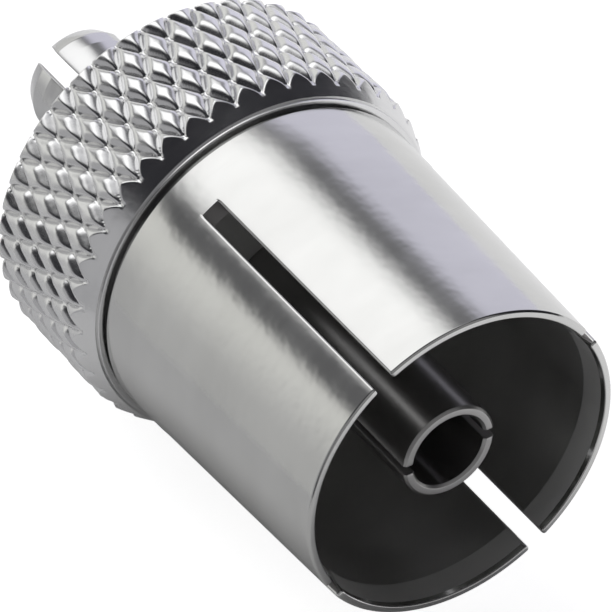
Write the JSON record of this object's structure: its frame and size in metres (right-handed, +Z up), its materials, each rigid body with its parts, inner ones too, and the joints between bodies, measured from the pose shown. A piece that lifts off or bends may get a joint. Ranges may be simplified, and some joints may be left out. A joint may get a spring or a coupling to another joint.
{
  "type": "coaxial adapter",
  "caption": "Coaxial adapter with a slotted aerial socket, a diamond-knurled grip ring and a slotted MCX plug on one axis, in nickel-plated brass.",
  "frame": {"origin": "centre of the socket's mouth, on the common axis", "axes": "+X along the common axis, out of the socket's mouth; +Z up, with the adapter lying on its grip ring"},
  "size_m": [0.0214, 0.0124, 0.0124],
  "materials": {
    "ring_nickel": "bright nickel plate over knurled brass",
    "sleeve_nickel": "satin nickel plate over turned brass",
    "socket_polymer": "moulded polymer, matt",
    "contact_nickel": "nickel plate over turned brass",
    "plug_nickel": "nickel plate over turned brass",
    "plug_ptfe": "turned white polymer, matt",
    "pin_plating": "thin gold plate over brass"
  },
  "bodies": {
    "root": {"knurled_ring": "ring_nickel", "iec_sleeve": "sleeve_nickel", "iec_insulator": "socket_polymer", "iec_contact": "contact_nickel", "mcx_shell": "plug_nickel", "mcx_insulator": "plug_ptfe", "mcx_pin": "pin_plating"}
  },
  "joints": []
}
